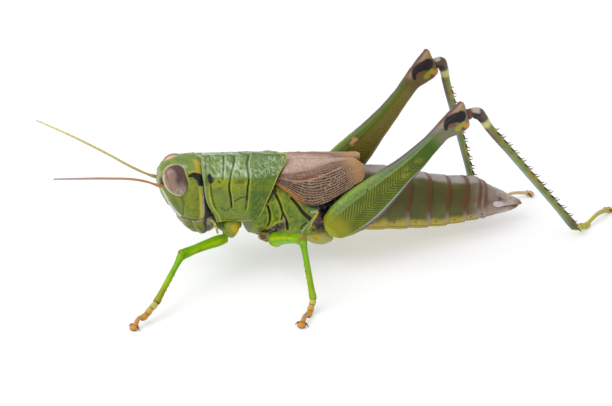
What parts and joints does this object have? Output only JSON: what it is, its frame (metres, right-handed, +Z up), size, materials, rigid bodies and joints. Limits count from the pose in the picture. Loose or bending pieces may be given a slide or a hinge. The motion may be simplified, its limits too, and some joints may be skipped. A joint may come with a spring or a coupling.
{
  "type": "grasshopper model",
  "caption": "Still, life-size model of a short-winged green grasshopper standing on its legs, with folded wing pads and raised knees.",
  "frame": {"origin": "on the floor under the middle of the model's box", "axes": "+X from the head towards the tail, +Y from the animal's left side to its right side, +Z up"},
  "size_m": [0.0541, 0.0262, 0.0165],
  "materials": {
    "green_shell": "satin, finely pitted",
    "olive_mouth": "satin",
    "eye": "glossy",
    "feeler": "matt",
    "wing": "parchment-like, veined",
    "abdomen": "satin, banded",
    "tail": "satin",
    "leg_green": "satin",
    "thigh": "satin, feather-patterned",
    "shank": "satin",
    "foot": "satin"
  },
  "bodies": {
    "root": {"head": "green_shell", "eye_left": "eye", "eye_right": "eye", "antenna_left": "feeler", "antenna_right": "feeler", "labrum": "olive_mouth", "mandible_left": "olive_mouth", "mandible_right": "olive_mouth", "labium": "olive_mouth", "palp_left": "feeler", "palp_right": "feeler", "pronotum": "green_shell", "prosternum": "green_shell", "thorax": "green_shell", "tegmen_left": "wing", "tegmen_right": "wing", "abdomen": "abdomen", "epiproct": "tail", "cercus_left": "tail", "cercus_right": "tail", "ovipositor_upper": "tail", "ovipositor_lower": "tail", "front_left_coxa": "leg_green", "front_left_femur": "leg_green", "front_left_tibia": "leg_green", "front_left_tarsus": "foot", "front_right_coxa": "leg_green", "front_right_femur": "leg_green", "front_right_tibia": "leg_green", "front_right_tarsus": "foot", "middle_left_coxa": "leg_green", "middle_left_femur": "leg_green", "middle_left_tibia": "leg_green", "middle_left_tarsus": "foot", "middle_right_coxa": "leg_green", "middle_right_femur": "leg_green", "middle_right_tibia": "leg_green", "middle_right_tarsus": "foot", "hind_left_coxa": "leg_green", "hind_left_femur": "thigh", "hind_left_tibia": "shank", "hind_left_tarsus": "foot", "hind_right_coxa": "leg_green", "hind_right_femur": "thigh", "hind_right_tibia": "shank", "hind_right_tarsus": "foot"}
  },
  "joints": []
}
